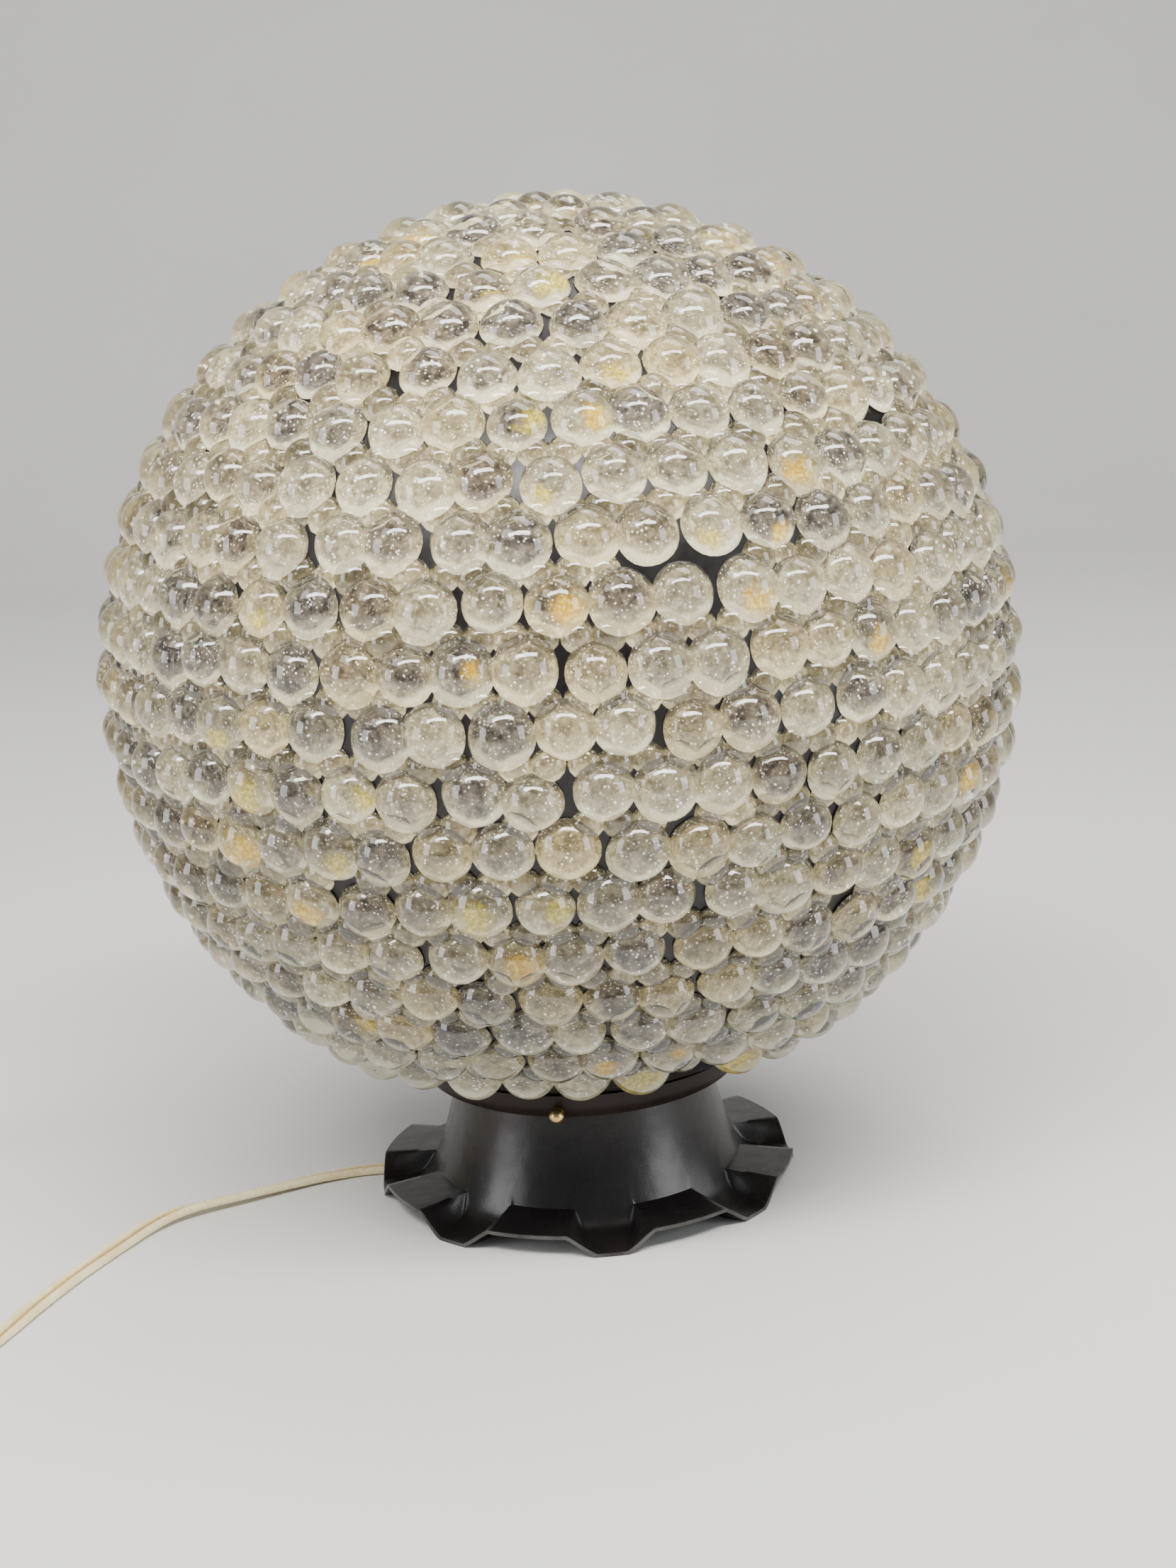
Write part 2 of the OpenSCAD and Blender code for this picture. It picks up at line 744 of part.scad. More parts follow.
// Switch on the cord: sizes shared by its pieces
switch_split = switch_h * 0.55;
switch_wall = 1.6;
switch_nub = 6;
sleeve_r = switch_cord_z - 1;
window_l = 17;
window_w = 11;
rocker_gap = 0.4;
pin_d = 2;
pin_z = switch_h - 3;
rocker_tilt = 9;
screw_hole_x = switch_l / 2 - switch_nub - 5;

// Places a child on the table with its +X along the cord, towards the coil
module at_switch() {
    translate([cord_x, switch_y, 0])
    rotate([0, 0, 90])
    children();
}

module switch_base() {
    body_l = switch_l - 2 * switch_nub;
    color([0.9, 0.86, 0.74])
    at_switch()
    union() {
        difference() {
            linear_extrude(switch_split) pad(body_l, switch_w, 6);
            translate([0, 0, switch_wall])
            linear_extrude(switch_h) pad(window_l + 2, switch_w - 2 * switch_wall, 2);
            for (x = [-1, 1])
            translate([x * screw_hole_x, 0, switch_wall])
            cylinder(h = switch_h, d = 2 + 2 * screw_gap);
        }
        // The cord's sleeves stand clear of the cover and join the base below the split
        for (x = [-1, 1]) {
            translate([x * (body_l / 2 + run_gap), 0, switch_cord_z])
            rotate([0, x * 90, 0])
            cylinder(h = switch_nub - run_gap, r1 = sleeve_r, d2 = cord_w + 2.4);
            translate([x * body_l / 2 - 1, -sleeve_r * 0.8, switch_cord_z - sleeve_r * 0.6])
            cube([2, sleeve_r * 1.6, switch_split - switch_cord_z + sleeve_r * 0.6]);
        }
    }
}

module switch_cover() {
    body_l = switch_l - 2 * switch_nub;
    color([0.9, 0.86, 0.74])
    at_switch()
    translate([0, 0, switch_split])
    difference() {
        union() {
            linear_extrude(switch_h - switch_split - 1.2) pad(body_l, switch_w, 6);
            linear_extrude(switch_h - switch_split) pad(body_l - 2.4, switch_w - 2.4, 4.8);
        }
        translate([0, 0, -1])
        linear_extrude(switch_h) pad(window_l, window_w, 1.5);
        translate([0, 0, -1])
        linear_extrude(1 + switch_h - switch_split - switch_wall * 2)
        pad(window_l + 2, switch_w - 2 * switch_wall, 2);
        translate([0, 0, pin_z - switch_split])
        rotate([90, 0, 0])
        cylinder(h = window_w + 5, d = pin_d + 2 * screw_gap, center = true);
        for (x = [-1, 1])
        translate([x * screw_hole_x, 0, -1]) {
            cylinder(h = switch_h, d = 2 + 2 * screw_gap);
            translate([0, 0, switch_h - switch_split - 0.8]) cylinder(h = 9, d = 4.4);
        }
    }
}

module switch_screws() {
    color([0.75, 0.75, 0.76])
    at_switch()
    for (x = [-1, 1])
    translate([x * screw_hole_x, 0, 0])
    union() {
        translate([0, 0, switch_wall]) cylinder(h = switch_h - switch_wall - 2, d = 2);
        translate([0, 0, switch_h - 1.8]) cylinder(h = 1.5, d = 4);
        translate([0, 0, switch_h - 2.4]) cylinder(h = 1, d = 2);
    }
}

module switch_contacts() {
    color([0.8, 0.66, 0.35])
    at_switch()
    for (x = [-1, 1])
    translate([x * 6, 0, switch_wall])
    translate([-2, -3, 0])
    cube([4, 6, 1.2]);
}

module switch_rocker() {
    long = window_l - 2 * rocker_gap - 1.6;
    color([0.12, 0.12, 0.12])
    at_switch()
    translate([0, 0, pin_z])
    rotate([90, 0, 0])
    rotate([0, 0, rocker_tilt])
    difference() {
        linear_extrude(window_w - 2 * rocker_gap, center = true)
        intersection() {
            translate([0, -26]) circle(30);
            polygon([
                [-long / 2, 0.5],
                [-3, -4],
                [3, -4],
                [long / 2, 0.5],
                [long / 2 + 0.2, 3.6],
                [0, 2.4],
                [-long / 2 - 0.2, 3.6]
            ]);
        }
        cylinder(h = switch_w, d = pin_d + 2 * screw_gap, center = true);
    }
}

module rocker_pin() {
    color([0.7, 0.7, 0.72])
    at_switch()
    translate([0, 0, pin_z])
    rotate([90, 0, 0])
    cylinder(h = window_w + 4.6, d = pin_d, center = true);
}

// Plug: moulded body that tapers to the cord, cut from two outlines
module plug_body() {
    neck = cord_w + 3;
    face_y = plug_l;
    color([0.86, 0.79, 0.6])
    translate([cord_x, plug_y, plug_z])
    intersection() {
        linear_extrude(4 * plug_z, center = true)
        polygon([
            [-neck / 2, 0],
            [neck / 2, 0],
            [neck / 2 + 1, face_y * 0.3],
            [plug_w / 2 - 2, face_y * 0.55],
            [plug_w / 2, face_y - 5],
            [plug_w / 2, face_y],
            [-plug_w / 2, face_y],
            [-plug_w / 2, face_y - 5],
            [-plug_w / 2 + 2, face_y * 0.55],
            [-neck / 2 - 1, face_y * 0.3]
        ]);
        rotate([0, 90, 0])
        linear_extrude(2 * plug_w, center = true)
        polygon([
            [-neck / 2, 0],
            [neck / 2, 0],
            [neck / 2 + 0.5, face_y * 0.3],
            [plug_z, face_y * 0.7],
            [plug_z, face_y],
            [-plug_z, face_y],
            [-plug_z, face_y * 0.7],
            [-neck / 2 - 0.5, face_y * 0.3]
        ]);
    }
}

blade_l = 17.5;
blade_w = 6.3;
blade_t = 1.5;
blade_step = 12.7;
module plug_blades() {
    color([0.8, 0.7, 0.45])
    for (x = [-1, 1])
    translate([cord_x + x * blade_step / 2, plug_y + plug_l, plug_z])
    difference() {
        translate([-blade_t / 2, 0, -blade_w / 2]) cube([blade_t, blade_l, blade_w]);
        translate([0, blade_l - 4, 0]) rotate([0, 90, 0]) cylinder(h = 4, d = 2.8, center = true);
    }
}

foot();
gallery_bowl();
gallery_screw(0);  // gallery_screw_1
gallery_screw(1);  // gallery_screw_2
gallery_screw(2);  // gallery_screw_3
threaded_tube();
tube_washer();
tube_nut(foot_h - sheet - washer_h - nut_h);  // lower_nut
tube_nut(bowl_floor);  // upper_nut
cord_bush();
holder_cap();
holder_shell();
holder_insulator();
holder_screw_shell();
holder_contact();
bulb_glass();
bulb_cap();
bulb_tip();
glass_globe();
cord();
cord_coil();
coil_tie();
switch_base();
switch_cover();
switch_screws();
switch_contacts();
switch_rocker();
rocker_pin();
plug_body();
plug_blades();
for (i = [0 : gem_rows - 1])
gem_row(i);
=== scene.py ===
"""Looks for the table lamp: gems, pressed foot, cord and every material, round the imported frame."""
import math

import bpy
import numpy as np
from mathutils import Matrix, Vector


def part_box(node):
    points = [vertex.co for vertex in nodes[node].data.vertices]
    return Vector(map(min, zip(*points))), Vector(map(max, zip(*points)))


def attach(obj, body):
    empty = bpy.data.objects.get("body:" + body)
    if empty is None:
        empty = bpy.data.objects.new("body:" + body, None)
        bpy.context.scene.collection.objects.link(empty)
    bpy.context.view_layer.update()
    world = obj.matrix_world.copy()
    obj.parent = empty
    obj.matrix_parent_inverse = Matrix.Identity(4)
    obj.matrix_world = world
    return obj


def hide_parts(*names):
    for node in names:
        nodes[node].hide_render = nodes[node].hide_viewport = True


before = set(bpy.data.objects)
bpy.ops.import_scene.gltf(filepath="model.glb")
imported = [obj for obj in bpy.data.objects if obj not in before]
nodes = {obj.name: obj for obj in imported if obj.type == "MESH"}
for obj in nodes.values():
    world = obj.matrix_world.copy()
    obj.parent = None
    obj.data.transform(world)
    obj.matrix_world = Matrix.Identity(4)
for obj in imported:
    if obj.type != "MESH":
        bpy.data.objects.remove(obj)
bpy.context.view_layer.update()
scene = bpy.context.scene
MM = 0.001

# Levels and radii of the solids, in millimetres
FOOT_H, SHEET, TUBE_HOLE_R = 39.2, 1.2, 5.2
NECK_TOP_R, NECK_LOW_R, FOOT_CORNER_R = 44.0, 55.0, 2.0
FLANGE_R, ARCH_H, ARCH_ROOT_H, LOBE_ROOT_H = 70.8, 7.6, 8.8, 3.0
LOBE_TIP_W, LOBE_ROOT_W, WALL_TIP_RUN, WALL_ROOT_RUN = 9.5, 16.3, 9.7, 2.0
LOBES, LOBE_AZ, FLAT_FROM = 8, 5.0, 0.6
GLOBE_D, GEM_DOME_H, GEM_EDGE_R, GEM_GLUE, GEM_COVER = 300.0, 5.2, 2.2, 0.3, 143.52
GEM_ROWS, FIRST_SHARE = 21, 0.6
MISSING_ROW, MISSING_GEM = 20, 2
SHELL_R = GLOBE_D / 2 - GEM_DOME_H - GEM_EDGE_R - GEM_GLUE
GLOBE_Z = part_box("glass_globe")[1].z / MM - SHELL_R
CORD_W, CORD_T, CORD_X = 5.4, 2.7, -243.0

# The camera that the photo's outlines give: pixels, then millimetres and degrees, with a sensor as tall as 36
PHOTO_H, FOCAL, SENSOR = 2212, 3322, 36
CAM_DISTANCE, CAM_ELEVATION, CAM_PITCH, CAM_YAW, CAM_ROLL = 775.0, 10.4, -3.1, 0.5, 3.0

# The stage, in metres: front and back of its floor, the bend's radius, its height and half its width
STAGE_FRONT, STAGE_BACK, STAGE_BEND, STAGE_TOP, STAGE_SIDE = -4.0, 1.4, 0.9, 4.0, 5.0

# Name, place, aim and size in metres, power in watts and colour
LIGHTS = [
    ("strip", (0.1, -0.80, 1.40), (0, 0, 0.18), (1.7, 0.25), 42, (1.0, 0.98, 0.94)),
    ("key", (-0.9, -0.9, 1.7), (0, 0, 0.18), (1.1, 0.7), 10, (1.0, 0.97, 0.92)),
    ("ceiling", (0.3, 0.35, 1.9), (0, 0, 0.15), (1.3, 0.6), 14, (1.0, 0.98, 0.95)),
    ("left", (-1.5, -0.7, 0.4), (0, 0, 0.12), (0.7, 1.0), 12, (0.98, 0.98, 1.0)),
    ("right", (1.5, -0.8, 0.45), (0, 0, 0.12), (0.7, 1.0), 12, (0.95, 0.97, 1.0)),
]
# Panels that only the foot's lacquer mirrors
PANELS = [
    ("right_panel", (1.6, -0.5, 0.7), (0, 0, 0.03), (1.5, 0.9), 17),
    ("left_panel", (-1.6, -0.55, 0.7), (0, 0, 0.03), (0.45, 0.9), 6),
    ("far_left_panel", (-1.0, 1.1, 0.6), (0, 0, 0.03), (0.3, 0.9), 4),
]

# How the gems differ: chances of a stain, shares of the gaps that are filled, wander and lean in radians
AMBER_CHANCE, LIME_CHANCE = 0.06, 0.05
FRONT_FILL, OTHER_FILL, FRONT_REACH = 0.92, 0.97, 0.93
GEM_WANDER, GEM_LEAN, GEM_AROUND, CHIP_AROUND = 0.022, 0.12, 24, 14
AMBER, LIME = np.array([0.44, 0.25, 0.006]), np.array([0.30, 0.27, 0.03])
CLEAR, STRAW, CHIP = np.array([0.99, 0.985, 0.96]), np.array([0.99, 0.92, 0.72]), np.array([0.95, 0.92, 0.84])

# The middle of the front, where fewer gaps are filled, in degrees from the top and to the right
FRONT_POLAR, FRONT_TURN = 88, 6

# The backs' distance from the shell, and a chip's least room, reach, rise and most height, in millimetres
BACK_GAP, CHIP_ROOM, CHIP_REACH, CHIP_RISE, CHIP_TOP = 0.2, 0.4, 3.2, 2.0, 4.6

# The fillet at the root of each lobe: rows of points above and below it, and turns of smoothing
FILLET_ABOVE, FILLET_BELOW, FILLET_TURNS = 7, 6, 14


# Camera and stage

def add_camera():
    """The photograph's camera, aimed from the middle of the globe by pitch and yaw, and rolled."""
    elevation = math.radians(CAM_ELEVATION)
    pitch, yaw, roll = math.radians(CAM_PITCH), math.radians(CAM_YAW), math.radians(CAM_ROLL)
    place = np.array([0, -CAM_DISTANCE * math.cos(elevation), CAM_DISTANCE * math.sin(elevation)])
    ahead = -place / np.linalg.norm(place)
    right = np.array([1.0, 0, 0])
    up = np.cross(right, ahead)
    look = ahead * math.cos(pitch) * math.cos(yaw)
    look += right * math.sin(yaw) * math.cos(pitch) + up * math.sin(pitch)
    look /= np.linalg.norm(look)
    side = np.cross(look, [0, 0, 1.0])
    side /= np.linalg.norm(side)
    top = np.cross(side, look)
    c, s = math.cos(roll), math.sin(roll)
    side, top = c * side - s * top, s * side + c * top
    data = bpy.data.cameras.new("camera")
    data.sensor_width = SENSOR
    data.lens = FOCAL / PHOTO_H * SENSOR
    data.clip_start = 0.05
    cam = bpy.data.objects.new("camera", data)
    scene.collection.objects.link(cam)
    matrix = Matrix.Identity(4)
    for i in range(3):
        matrix[i][0], matrix[i][1], matrix[i][2] = side[i], top[i], -look[i]
        matrix[i][3] = (place[i] + (GLOBE_Z if i == 2 else 0)) * MM
    cam.matrix_world = matrix
    scene.camera = cam


def add_stage():
    """A pale sheet that runs from the floor up into the backdrop."""
    section = [(STAGE_FRONT, 0.0), (STAGE_BACK, 0.0)]
    for a in np.linspace(0.05, math.pi / 2, 24):
        section.append((STAGE_BACK + STAGE_BEND * math.sin(a), STAGE_BEND * (1 - math.cos(a))))
    section.append((STAGE_BACK + STAGE_BEND, STAGE_TOP))
    points = [(x, y, z) for y, z in section for x in (-STAGE_SIDE, STAGE_SIDE)]
    faces = [(2 * i, 2 * i + 1, 2 * i + 3, 2 * i + 2) for i in range(len(section) - 1)]
    stage = make_mesh("stage", points, faces)
    stage.data.materials.append(stage_material())


def add_light(name, place, aim, size, power, color=(1, 1, 1), only=None):
    """An area light. One made for a collection only mirrors in it and lights nothing else."""
    data = bpy.data.lights.new(name, "AREA")
    data.shape = "RECTANGLE"
    data.size, data.size_y = size
    data.energy = power
    data.color = color
    lamp = bpy.data.objects.new(name, data)
    if only:
        lamp.visible_diffuse = False
        lamp.light_linking.receiver_collection = only
    scene.collection.objects.link(lamp)
    turn = (Vector(aim) - Vector(place)).to_track_quat("-Z", "Y")
    lamp.matrix_world = Matrix.Translation(place) @ turn.to_matrix().to_4x4()


def add_room():
    """The even light of a pale room."""
    world = bpy.data.worlds.new("soft_room")
    world.use_nodes = True
    light = world.node_tree.nodes["Background"].inputs
    light["Color"].default_value = (0.80, 0.82, 0.85, 1)
    light["Strength"].default_value = 0.4
    scene.world = world


# Mesh helpers

def make_mesh(name, points, faces, crease=None):
    """A smooth mesh, with sharp edges where it turns by more than the crease angle."""
    mesh = bpy.data.meshes.new(name)
    mesh.from_pydata([tuple(p) for p in points], [], faces)
    mesh.update()
    mesh.polygons.foreach_set("use_smooth", np.ones(len(mesh.polygons), bool))
    if crease is not None:
        mesh.set_sharp_from_angle(angle=math.radians(crease))
    obj = bpy.data.objects.new(name, mesh)
    scene.collection.objects.link(obj)
    return obj


def grid_faces(around, rows, start=0, flip=False):
    """Four-sided faces between rows of points that each close on themselves."""
    faces = []
    for j in range(rows - 1):
        for s in range(around):
            a, b = start + j * around + s, start + j * around + (s + 1) % around
            face = (a, b, b + around, a + around)
            faces.append(face[::-1] if flip else face)
    return faces


# Shader helpers

class Shader:
    """A Principled material with a few short ways to add texture."""

    def __init__(self, name, color, rough, metallic=0.0):
        self.mat = bpy.data.materials.new(name)
        self.mat.use_nodes = True
        self.tree = self.mat.node_tree
        self.out = self.tree.nodes["Principled BSDF"]
        self.set("Base Color", (*color, 1))
        self.set("Roughness", rough)
        self.set("Metallic", metallic)
        self.mat.diffuse_color = (*color, 1)

    def set(self, socket, value):
        self.out.inputs[socket].default_value = value

    def node(self, kind, **values):
        n = self.tree.nodes.new(kind)
        for key, value in values.items():
            if hasattr(n, key):
                setattr(n, key, value)
            else:
                n.inputs[key.replace("_", " ")].default_value = value
        return n

    def link(self, a, b):
        self.tree.links.new(a, b)

    def attribute(self, name, output):
        return self.node("ShaderNodeAttribute", attribute_name=name).outputs[output]

    def split(self, name):
        """The three parts of a vector attribute."""
        n = self.node("ShaderNodeSeparateXYZ")
        self.link(self.attribute(name, "Vector"), n.inputs["Vector"])
        return n.outputs["X"], n.outputs["Y"], n.outputs["Z"]

    def coords(self):
        return self.node("ShaderNodeTexCoord").outputs["Object"]

    def noise(self, scale, detail=4.0, rough=0.55):
        n = self.node("ShaderNodeTexNoise", Scale=scale, Detail=detail, Roughness=rough)
        self.link(self.coords(), n.inputs["Vector"])
        return n.outputs["Fac"]

    def spots(self, scale, low, high):
        """1 at scattered points, 0 between them."""
        n = self.node("ShaderNodeTexVoronoi", Scale=scale)
        self.link(self.coords(), n.inputs["Vector"])
        return self.span(n.outputs["Distance"], low, high, 1, 0)

    def span(self, value, low, high, to_low, to_high):
        """The value, moved from one range to another and kept inside it."""
        n = self.node("ShaderNodeMapRange")
        sockets = ("From Min", "From Max", "To Min", "To Max")
        for socket, number in zip(sockets, (low, high, to_low, to_high)):
            n.inputs[socket].default_value = number
        self.link(value, n.inputs["Value"])
        return n.outputs["Result"]

    def math(self, kind, a, b):
        n = self.node("ShaderNodeMath", operation=kind)
        for i, x in enumerate((a, b)):
            if isinstance(x, (int, float)):
                n.inputs[i].default_value = x
            else:
                self.link(x, n.inputs[i])
        return n.outputs["Value"]

    def length(self, x, y):
        squares = self.math("ADD", self.math("MULTIPLY", x, x), self.math("MULTIPLY", y, y))
        return self.math("SQRT", squares, 0)

    def mix(self, factor, a, b, blend="MIX"):
        n = self.node("ShaderNodeMix", data_type="RGBA", blend_type=blend)
        for x, socket in ((factor, n.inputs[0]), (a, n.inputs[6]), (b, n.inputs[7])):
            if isinstance(x, (int, float)):
                socket.default_value = x
            elif isinstance(x, tuple):
                socket.default_value = (*x, 1)
            else:
                self.link(x, socket)
        return n.outputs[2]

    def color(self, value):
        self.link(value, self.out.inputs["Base Color"])

    def rough(self, value):
        self.link(value, self.out.inputs["Roughness"])

    def bump(self, value, depth):
        n = self.node("ShaderNodeBump", Distance=depth)
        self.link(value, n.inputs["Height"])
        if self.out.inputs["Normal"].is_linked:
            self.link(self.out.inputs["Normal"].links[0].from_socket, n.inputs["Normal"])
        self.link(n.outputs["Normal"], self.out.inputs["Normal"])


def mottled(name, dark, light, rough, scale, metallic, grain):
    """A surface with slow colour variation, uneven gloss and a fine grain of that depth in metres."""
    s = Shader(name, light, (rough[0] + rough[1]) / 2, metallic)
    s.color(s.mix(s.span(s.noise(scale), 0.3, 0.7, 0, 1), dark, light))
    s.rough(s.span(s.noise(scale * 5), 0.3, 0.7, *rough))
    s.bump(s.noise(2500, 2), grain)
    return s.mat


def stage_material():
    """Pale paper, a little uneven."""
    s = Shader("stage_paper", (0.74, 0.735, 0.72), 0.85)
    s.color(s.mix(s.span(s.noise(3), 0.3, 0.7, 0, 1), (0.72, 0.715, 0.70), (0.76, 0.755, 0.74)))
    return s.mat


def foot_material():
    """Black satin lacquer on pressed sheet, a little dusty in patches, with a painted highlight along the
    outer edge.
    """
    s = Shader("foot_lacquer", (0.010, 0.009, 0.009), 0.28)
    s.set("Specular IOR Level", 0.3)
    slow = s.span(s.noise(28, 5), 0.35, 0.7, 0, 1)
    base = s.mix(slow, (0.008, 0.007, 0.007), (0.015, 0.013, 0.013))
    grit = s.span(s.noise(420, 6, 0.7), 0.54, 0.8, 0, 1)
    dust = s.math("MULTIPLY", grit, s.span(s.noise(40, 3), 0.4, 0.7, 0.0, 0.3))
    base = s.mix(dust, base, (0.06, 0.058, 0.055))
    # Painted highlight along the flange's outer edge, broken up by noise
    edge_highlight = s.math("MULTIPLY", s.attribute("rim", "Fac"), s.span(s.noise(70, 4), 0.35, 0.6, 0.25, 1))
    s.color(s.mix(edge_highlight, base, (0.085, 0.083, 0.08)))
    s.rough(s.math("ADD", s.span(s.noise(60, 3), 0.3, 0.7, 0.24, 0.31), s.math("MULTIPLY", dust, 0.2)))
    s.bump(s.noise(1600, 2), 0.00003)
    s.bump(s.noise(55, 2), 0.0004)
    return s.mat


def gallery_material():
    """Brown-black satin lacquer."""
    s = Shader("gallery_lacquer", (0.015, 0.009, 0.007), 0.42)
    s.set("Specular IOR Level", 0.16)
    s.color(s.mix(s.span(s.noise(35, 5), 0.35, 0.7, 0, 1), (0.010, 0.006, 0.0045), (0.020, 0.012, 0.009)))
    s.rough(s.span(s.noise(140, 4), 0.3, 0.7, 0.34, 0.48))
    s.bump(s.noise(1800, 2), 0.00003)
    return s.mat


def shell_material():
    """Dark glass under the gems; its near-black tone is painted shade for the dark inside of the globe seen
    in the gaps.
    """
    s = Shader("shell_glass_painted_shade", (0.04, 0.032, 0.027), 0.3)
    s.set("Transmission Weight", 0.75)
    s.set("IOR", 1.5)
    s.set("Specular IOR Level", 0.08)
    # Near-black colours: painted shade in the gaps between the gems
    s.color(s.mix(s.span(s.noise(22, 3), 0.35, 0.7, 0, 1), (0.014, 0.011, 0.009), (0.032, 0.026, 0.022)))
    s.rough(s.span(s.noise(160, 3), 0.3, 0.7, 0.24, 0.42))
    return s.mat


def gem_glass():
    """Clear cast glass, faintly wavy, with a few seed bubbles at its face."""
    s = Shader("gem_glass", (0.97, 0.965, 0.93), 0.02)
    s.set("IOR", 1.5)
    s.set("Coat Weight", 0.6)
    s.set("Coat Roughness", 0.02)
    s.set("Coat IOR", 1.6)
    seeds = s.math("MULTIPLY", s.spots(700, 0.08, 0.20), s.span(s.noise(260, 2), 0.5, 0.62, 0, 1))
    s.color(s.mix(seeds, s.attribute("tint", "Color"), (0.96, 0.95, 0.90)))
    s.link(s.span(seeds, 0, 1, 1.0, 0.5), s.out.inputs["Transmission Weight"])
    s.rough(s.span(s.noise(300, 3), 0.3, 0.7, 0.005, 0.04))
    s.bump(s.noise(170, 2), 0.0003)
    return s.mat


def gem_back():
    """The gem's glued back, seen through its dome.

    A grey seedy core and a dark upper edge that are painted shade, a beige ring, a bright lower edge that is
    painted light and, in a few gems, a stain.
    """
    s = Shader("gem_back", (0.55, 0.53, 0.43), 0.9)
    s.set("Specular IOR Level", 0.0)
    x, y, core_size = s.split("form")
    edge = s.length(x, y)
    slow = s.math("SUBTRACT", s.noise(200, 3), 0.5)
    mid = s.noise(420, 4, 0.6)
    fine = s.noise(1100, 5, 0.7)
    # The core is painted shade, the dark inside seen through the glass, centred a little above the middle
    reach = s.math("DIVIDE", s.length(x, s.math("SUBTRACT", y, 0.10)), core_size)
    core = s.span(s.math("ADD", reach, s.math("MULTIPLY", slow, 1.8)), 0.45, 1.25, 1, 0)
    core = s.math("MULTIPLY", core, s.span(core_size, 0.35, 0.75, 0.25, 1))
    grain = s.math("ADD", s.math("MULTIPLY", mid, 0.6), s.math("MULTIPLY", fine, 0.4))
    grain = s.span(grain, 0.40, 0.60, 0, 1)
    ring = s.mix(grain, (0.185, 0.155, 0.088), (0.44, 0.39, 0.245))
    # The core's colours, painted shade
    inner = s.mix(grain, (0.024, 0.020, 0.017), (0.16, 0.135, 0.105))
    paint = s.mix(core, ring, inner)
    # Painted shade along the upper edge
    painted_shade_edge = s.span(s.math("ADD", edge, s.math("MULTIPLY", slow, 0.3)), 0.60, 0.72, 0, 0.85)
    painted_shade_edge = s.math("MULTIPLY", painted_shade_edge, s.span(y, 0.2, 0.45, 0, 1))
    paint = s.mix(painted_shade_edge, paint, (0.035, 0.030, 0.027))
    # Painted light along the lower edge
    painted_light_edge = s.math("MULTIPLY", s.span(edge, 0.50, 0.66, 0, 1), s.span(y, -0.2, -0.42, 0, 1))
    paint = s.mix(s.math("MULTIPLY", painted_light_edge, 0.7), paint, (0.78, 0.73, 0.55))
    sparks = s.math("MULTIPLY", s.spots(900, 0.14, 0.30), s.span(s.noise(330, 2), 0.42, 0.6, 0.2, 1))
    paint = s.mix(sparks, paint, (0.97, 0.96, 0.92))
    paint = s.mix(s.span(fine, 0.60, 0.72, 0, 0.4), paint, (0.88, 0.85, 0.74))
    stain_x, stain_y, stain_size = s.split("spot")
    far = s.length(s.math("SUBTRACT", x, stain_x), s.math("SUBTRACT", y, stain_y))
    far = s.math("DIVIDE", far, s.math("MAXIMUM", stain_size, 0.01))
    ragged = s.math("MULTIPLY", s.math("SUBTRACT", mid, 0.5), 1.5)
    far = s.math("ADD", far, s.math("ADD", s.math("MULTIPLY", slow, 1.6), ragged))
    stain = s.math("MULTIPLY", s.span(far, 0.35, 1.1, 0.85, 0), s.span(stain_size, 0.02, 0.2, 0, 1))
    gold = s.mix(s.span(fine, 0.44, 0.60, 0, 1), s.attribute("patch", "Color"), (0.70, 0.53, 0.10))
    paint = s.mix(stain, paint, gold)
    s.color(s.mix(1.0, paint, s.attribute("tint", "Color"), "MULTIPLY"))
    return s.mat


def cord_material():
    """Cream vinyl, a little see-through, darker and yellower along the groove, which is painted shade in the
    crease between the cores.
    """
    s = Shader("cord_vinyl", (0.92, 0.81, 0.53), 0.28)
    s.set("Subsurface Weight", 0.25)
    s.set("Subsurface Radius", (0.004, 0.003, 0.0015))
    s.set("Subsurface Scale", 0.4)
    s.set("Transmission Weight", 0.08)
    base = s.mix(s.span(s.noise(120, 4), 0.35, 0.65, 0, 1), (0.88, 0.73, 0.39), (0.96, 0.85, 0.54))
    # Painted shade along the groove between the two cores
    s.color(s.mix(s.attribute("groove", "Fac"), base, (0.52, 0.35, 0.13)))
    s.rough(s.span(s.noise(500, 3), 0.3, 0.7, 0.22, 0.36))
    s.bump(s.noise(900, 2), 0.00004)
    return s.mat


def bulb_material():
    """Pearl glass."""
    s = Shader("pearl_bulb", (0.93, 0.92, 0.88), 0.35)
    s.set("Transmission Weight", 0.5)
    s.set("IOR", 1.45)
    s.color(s.mix(s.span(s.noise(50, 3), 0.3, 0.7, 0, 1), (0.90, 0.89, 0.85), (0.96, 0.95, 0.92)))
    s.rough(s.span(s.noise(200, 3), 0.3, 0.7, 0.28, 0.42))
    return s.mat


# Foot

def smooth(t):
    """A soft step from 0 to 1."""
    t = min(max(t, 0.0), 1.0)
    return t * t * (3 - 2 * t)


